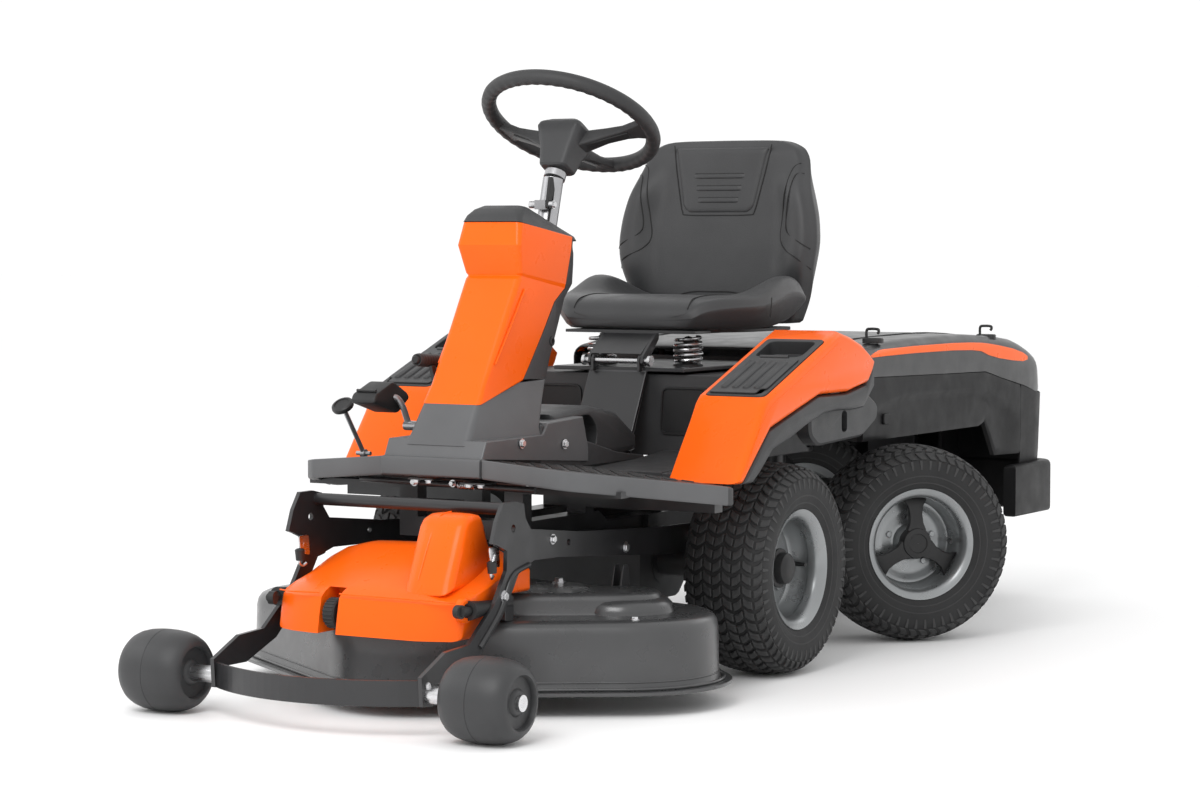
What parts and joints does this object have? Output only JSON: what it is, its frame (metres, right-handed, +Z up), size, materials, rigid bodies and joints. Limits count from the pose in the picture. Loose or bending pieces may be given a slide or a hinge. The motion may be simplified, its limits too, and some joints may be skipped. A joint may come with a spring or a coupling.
{
  "type": "riding lawn mower",
  "caption": "Articulated riding lawn mower with a front-mounted rotary deck, bucket seat, steering column and rear engine under a dark hood.",
  "frame": {"origin": "centre of the footprint at ground level", "axes": "+X machine's left-hand side, +Y from the cutting deck towards the engine, +Z up"},
  "size_m": [1.0767, 2.4959, 1.154],
  "materials": {
    "orange_plastic": "bright orange moulded panels, satin gloss",
    "dark_plastic": "fine-grained dark grey moulded plastic",
    "black_plastic": "textured black plastic",
    "grip_plastic": "soft-touch dark grip material",
    "hood_plastic": "smooth dark grey hood plastic",
    "frame_steel": "powder-coated dark steel",
    "deck_steel": "satin dark grey painted deck steel",
    "cast_housing": "cast housing with fine casting grain",
    "zinc_steel": "zinc-plated steel",
    "silver_paint": "silver painted wheel steel",
    "column_metal": "grey painted tube",
    "tyre_rubber": "turf tyre rubber",
    "belt_rubber": "V-belt rubber",
    "seat_vinyl": "dark grey seat vinyl",
    "blade_steel": "painted blade with a ground edge",
    "engine_metal": "cast aluminium",
    "tank_plastic": "translucent-grey tank plastic",
    "exhaust_steel": "heat-darkened steel"
  },
  "bodies": {
    "chassis": {"main_frame": "frame_steel", "kingpin": "zinc_steel", "front_transaxle": "cast_housing", "pivot_pins": "zinc_steel", "footplates": "black_plastic", "column_top_cap": "dark_plastic", "column_front_cover": "orange_plastic", "column_rear_cover": "dark_plastic", "column_shoe": "dark_plastic", "steering_tube": "column_metal", "seat_support": "frame_steel", "seat_springs": "zinc_steel", "fenders": "orange_plastic", "trays": "dark_plastic", "arch_trims": "dark_plastic", "tunnel_cover": "dark_plastic", "side_panels": "hood_plastic", "rear_cowl": "hood_plastic", "rear_bumper": "frame_steel", "tow_hitch": "frame_steel", "engine_block": "engine_metal", "muffler": "exhaust_steel", "fuel_tank": "tank_plastic", "battery": "black_plastic"},
    "steering_wheel": {"steering_wheel": "grip_plastic"},
    "column_lever": {"column_lever": "black_plastic"},
    "seat": {"seat_bracket": "frame_steel", "seat_cushion": "seat_vinyl", "seat_back": "seat_vinyl"},
    "tray_lid_left": {"tray_lid_left": "dark_plastic"},
    "tray_lid_right": {"tray_lid_right": "dark_plastic"},
    "hood": {"hood_shell": "hood_plastic", "hood_stripes": "orange_plastic", "hood_hooks": "black_plastic"},
    "rear_bogie": {"bogie_frame": "frame_steel", "rear_transaxle": "cast_housing"},
    "wheel_front_left": {"tyre_front_left": "tyre_rubber", "rim_front_left": "silver_paint"},
    "wheel_front_right": {"tyre_front_right": "tyre_rubber", "rim_front_right": "silver_paint"},
    "wheel_rear_left": {"tyre_rear_left": "tyre_rubber", "rim_rear_left": "silver_paint"},
    "wheel_rear_right": {"tyre_rear_right": "tyre_rubber", "rim_rear_right": "silver_paint"},
    "lift_frame": {"lift_frame": "frame_steel", "roller_bolts": "zinc_steel"},
    "roller_left": {"roller_left": "dark_plastic"},
    "roller_right": {"roller_right": "dark_plastic"},
    "deck": {"deck_shell": "deck_steel", "spindle_housings": "cast_housing", "deck_belt": "belt_rubber", "deck_cover": "orange_plastic"},
    "height_knob": {"height_knob": "black_plastic"},
    "blade_left": {"blade_left": "blade_steel"},
    "blade_centre": {"blade_centre": "blade_steel"},
    "blade_right": {"blade_right": "blade_steel"},
    "drive_pedal": {"drive_pedal": "black_plastic"},
    "brake_pedal": {"brake_pedal": "black_plastic"},
    "lift_lever": {"lift_lever": "black_plastic"},
    "lift_lever_button": {"lift_lever_button": "black_plastic"}
  },
  "joints": [
    {"name": "rear_steer", "type": "hinge", "parent": "chassis", "child": "rear_bogie", "pos_m": [-0.036, 0.4975, 0.3], "axis": [0, 0, 1], "range_deg": [-1.5, 88]},
    {"name": "steering_wheel_turn", "type": "hinge", "parent": "chassis", "child": "steering_wheel", "pos_m": [-0.036, -0.335, 1.059], "axis": [0, 0.4879, 0.8729], "range_deg": [-356, 10]},
    {"name": "wheel_front_left_spin", "type": "hinge", "parent": "chassis", "child": "wheel_front_left", "pos_m": [0.324, -0.206, 0.2035], "axis": [1, 0, 0], "continuous": true},
    {"name": "wheel_front_right_spin", "type": "hinge", "parent": "chassis", "child": "wheel_front_right", "pos_m": [-0.396, -0.206, 0.2035], "axis": [1, 0, 0], "continuous": true},
    {"name": "wheel_rear_left_spin", "type": "hinge", "parent": "rear_bogie", "child": "wheel_rear_left", "pos_m": [0.35155, 0.38314, 0.2035], "axis": [0.726, -0.6877, 0], "continuous": true},
    {"name": "wheel_rear_right_spin", "type": "hinge", "parent": "rear_bogie", "child": "wheel_rear_right", "pos_m": [-0.17115, 0.8783, 0.2035], "axis": [0.726, -0.6877, 0], "continuous": true},
    {"name": "deck_lift", "type": "hinge", "parent": "chassis", "child": "lift_frame", "pos_m": [-0.036, -0.246, 0.262], "axis": [-1, 0, 0], "range_deg": [0, 6.5]},
    {"name": "lift_lever_pull", "type": "hinge", "parent": "chassis", "child": "lift_lever", "pos_m": [-0.124, -0.656, 0.52], "axis": [-1, 0, 0], "range_deg": [0, 26]},
    {"name": "lift_button_press", "type": "slide", "parent": "lift_lever", "child": "lift_lever_button", "axis": [0, 0.9977, -0.0677], "range_m": [0, 0.004], "stiffness_N_per_m": 400, "springref_m": -0.002},
    {"name": "roller_left_spin", "type": "hinge", "parent": "lift_frame", "child": "roller_left", "pos_m": [0.302, -1.16, 0.073], "axis": [1, 0, 0], "continuous": true},
    {"name": "roller_right_spin", "type": "hinge", "parent": "lift_frame", "child": "roller_right", "pos_m": [-0.374, -1.16, 0.073], "axis": [1, 0, 0], "continuous": true},
    {"name": "cutting_height", "type": "slide", "parent": "lift_frame", "child": "deck", "axis": [0, 0, 1], "range_m": [-0.02, 0.02]},
    {"name": "height_knob_turn", "type": "hinge", "parent": "deck", "child": "height_knob", "pos_m": [-0.104, -1.023, 0.177], "axis": [1, 0, 0], "range_deg": [-182, 182]},
    {"name": "blade_centre_spin", "type": "hinge", "parent": "deck", "child": "blade_centre", "pos_m": [-0.036, -0.856, 0.1], "axis": [0, 0, 1], "continuous": true},
    {"name": "blade_left_spin", "type": "hinge", "parent": "deck", "child": "blade_left", "pos_m": [0.269, -0.656, 0.1], "axis": [0, 0, 1], "continuous": true},
    {"name": "blade_right_spin", "type": "hinge", "parent": "deck", "child": "blade_right", "pos_m": [-0.341, -0.656, 0.1], "axis": [0, 0, 1], "continuous": true},
    {"name": "hood_open", "type": "hinge", "parent": "chassis", "child": "hood", "pos_m": [-0.036, 1.24, 0.474], "axis": [-1, 0, 0], "range_deg": [0, 55]},
    {"name": "seat_fold", "type": "hinge", "parent": "chassis", "child": "seat", "pos_m": [-0.036, -0.156, 0.592], "axis": [1, 0, 0], "range_deg": [0, 30]},
    {"name": "column_lever_turn", "type": "hinge", "parent": "chassis", "child": "column_lever", "pos_m": [-0.036, -0.442, 0.899], "axis": [1, 0, 0], "range_deg": [0, 35]},
    {"name": "drive_pedal_tilt", "type": "hinge", "parent": "chassis", "child": "drive_pedal", "pos_m": [-0.166, -0.676, 0.486], "axis": [1, 0, 0], "range_deg": [-12, 12], "stiffness_Nm_per_rad": 8},
    {"name": "brake_pedal_press", "type": "hinge", "parent": "chassis", "child": "brake_pedal", "pos_m": [-0.336, -0.606, 0.424], "axis": [1, 0, 0], "range_deg": [0, 14], "stiffness_Nm_per_rad": 4, "springref_deg": -8.59},
    {"name": "tray_lid_left_open", "type": "hinge", "parent": "chassis", "child": "tray_lid_left", "pos_m": [0.336, -0.19704, 0.60814], "axis": [-1, 0, 0], "range_deg": [0, 75]},
    {"name": "tray_lid_right_open", "type": "hinge", "parent": "chassis", "child": "tray_lid_right", "pos_m": [-0.408, -0.19704, 0.60814], "axis": [-1, 0, 0], "range_deg": [0, 75]}
  ],
  "couplings": [
    {"joint": "steering_wheel_turn", "follows": "rear_steer", "ratio": -4},
    {"joint": "lift_lever_pull", "follows": "deck_lift", "ratio": 3.85},
    {"joint": "height_knob_turn", "follows": "cutting_height", "rad_per_m": 157.08},
    {"joint": "blade_left_spin", "follows": "blade_centre_spin", "ratio": 1},
    {"joint": "blade_right_spin", "follows": "blade_centre_spin", "ratio": 1}
  ]
}
